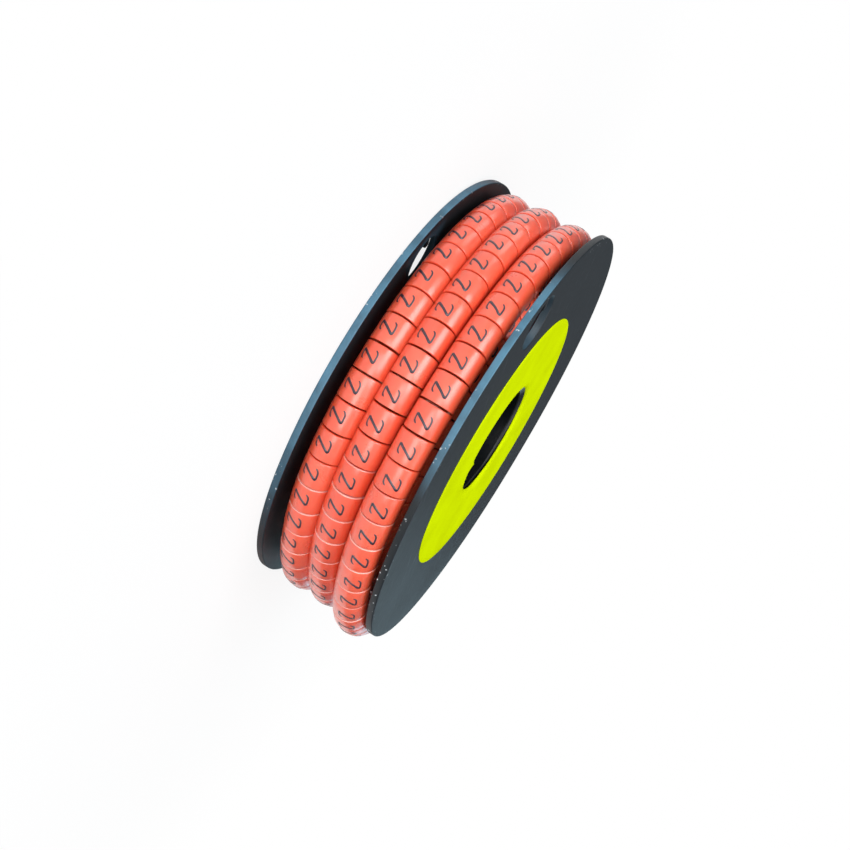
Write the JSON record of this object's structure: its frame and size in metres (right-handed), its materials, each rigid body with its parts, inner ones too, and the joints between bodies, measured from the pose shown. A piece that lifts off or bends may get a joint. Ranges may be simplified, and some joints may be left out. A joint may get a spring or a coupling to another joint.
{
  "type": "cable marker roll",
  "caption": "Roll of part-cut soft sleeve cable markers wound on a flanged reel with a hub bore and a round label; a marker is torn off and slid over a wire end.",
  "frame": {"origin": "centre of the plain flange's outer face, on the hub axis, where the roll lies on a surface", "axes": "+Z along the hub axis from the plain flange to the label, +X through the tail holes"},
  "size_m": [0.0828, 0.0828, 0.0235],
  "materials": {
    "reel_plastic": "black moulded plastic, satin to gloss",
    "marker_vinyl": "red soft vinyl, glossy",
    "label_paper": "yellow-green coated paper"
  },
  "bodies": {
    "root": {"reel": "reel_plastic", "marker_strip": "marker_vinyl", "label": "label_paper"}
  },
  "joints": []
}
